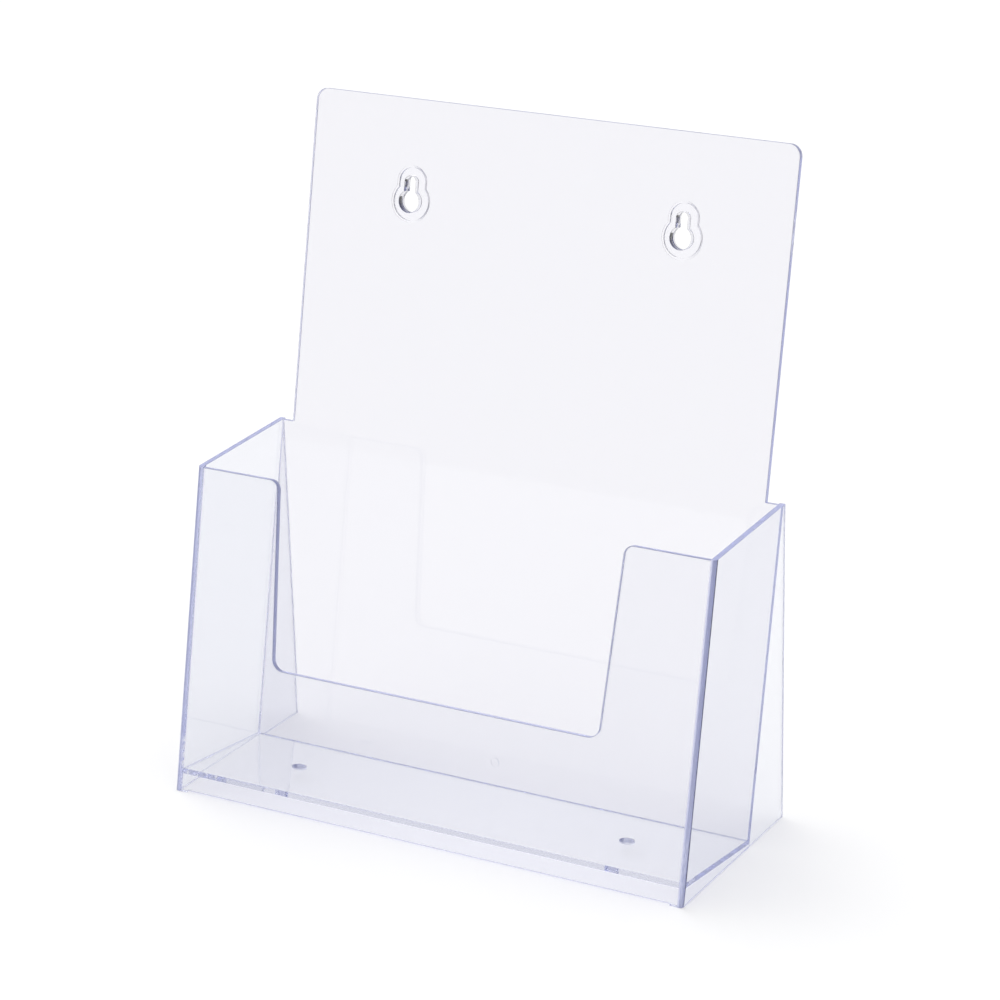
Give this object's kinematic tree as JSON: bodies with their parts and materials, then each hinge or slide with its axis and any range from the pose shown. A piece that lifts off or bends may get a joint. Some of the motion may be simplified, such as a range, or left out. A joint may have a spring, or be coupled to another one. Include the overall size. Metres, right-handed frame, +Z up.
{
  "type": "magazine rack",
  "caption": "Clear letter-size magazine rack: tall leaning back panel with keyhole slots, low front panel with a wide U cut-out, gusseted end walls and a sloping pocket floor.",
  "frame": {"origin": "centre of the bounding box's underside, on the desk", "axes": "+X to the right of a reader facing the front, -Y towards the reader, +Z up"},
  "size_m": [0.232, 0.113, 0.275],
  "materials": {
    "clear_plastic": "clear polished moulded polystyrene with a faint blue-violet tint"
  },
  "bodies": {
    "root": {"back_panel": "clear_plastic", "front_panel": "clear_plastic", "left_side_panel": "clear_plastic", "right_side_panel": "clear_plastic", "pocket_floor": "clear_plastic", "left_keyhole_boss": "clear_plastic", "right_keyhole_boss": "clear_plastic"}
  },
  "joints": []
}
